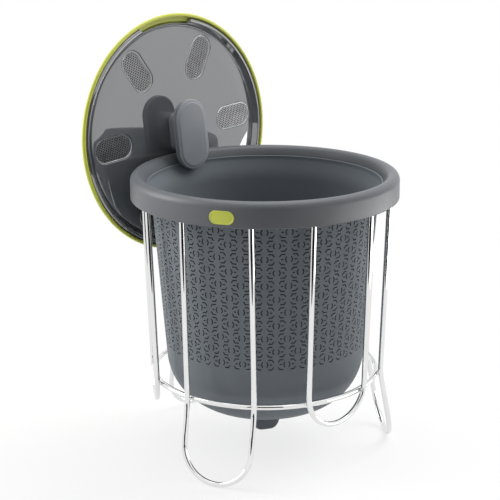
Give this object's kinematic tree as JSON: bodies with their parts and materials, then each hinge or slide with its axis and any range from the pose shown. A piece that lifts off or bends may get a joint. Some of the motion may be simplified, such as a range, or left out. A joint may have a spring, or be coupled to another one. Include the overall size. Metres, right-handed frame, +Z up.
{
  "type": "compost caddy",
  "caption": "Kitchen compost caddy: a soft round bucket with a stiff collar in a wire stand, with a vented filter lid hung on its rim.",
  "frame": {"origin": "on the floor under the stand's axis", "axes": "+Z up along the stand's axis, -Y towards the collar's badge, +X to the right of the badge seen from the front"},
  "size_m": [0.2839, 0.2719, 0.3799],
  "materials": {
    "chrome_wire": "bright chromed steel wire",
    "bucket_soft": "soft matte dark grey with a debossed lattice",
    "collar_soft": "smooth satin dark grey",
    "lime_plastic": "satin lime green",
    "lid_gloss": "glossy dark grey",
    "handle_satin": "satin dark grey",
    "screw_steel": "plain steel",
    "screen_steel": "fine perforated steel screen",
    "filter_foam": "black carbon foam"
  },
  "bodies": {
    "stand": {"top_ring": "chrome_wire", "lower_ring": "chrome_wire", "floor_loop_1": "chrome_wire", "floor_loop_2": "chrome_wire", "floor_loop_3": "chrome_wire", "short_loop_1": "chrome_wire", "short_loop_2": "chrome_wire", "short_loop_3": "chrome_wire"},
    "bucket": {"bucket_shell": "bucket_soft", "rim_collar": "collar_soft", "collar_badge": "lime_plastic"},
    "lid": {"lid_top_plate": "lid_gloss", "vent_screen_1": "screen_steel", "vent_screen_2": "screen_steel", "vent_screen_3": "screen_steel", "vent_screen_4": "screen_steel", "vent_screen_5": "screen_steel", "vent_screen_6": "screen_steel", "handle_body": "handle_satin", "handle_cap": "handle_satin", "handle_screws": "screw_steel"},
    "tray": {"lid_tray": "lime_plastic", "charcoal_filter": "filter_foam"}
  },
  "joints": [
    {"name": "bucket_lift", "type": "slide", "parent": "stand", "child": "bucket", "axis": [0, 0, 1], "range_m": [0, 0.26]},
    {"name": "lid_lift", "type": "slide", "parent": "bucket", "child": "lid", "axis": [-0.1085, 0.0601, 0.9923], "range_m": [0, 0.14]},
    {"name": "tray_release", "type": "slide", "parent": "lid", "child": "tray", "axis": [-0.8738, 0.4843, -0.0436], "range_m": [0, 0.04]}
  ]
}
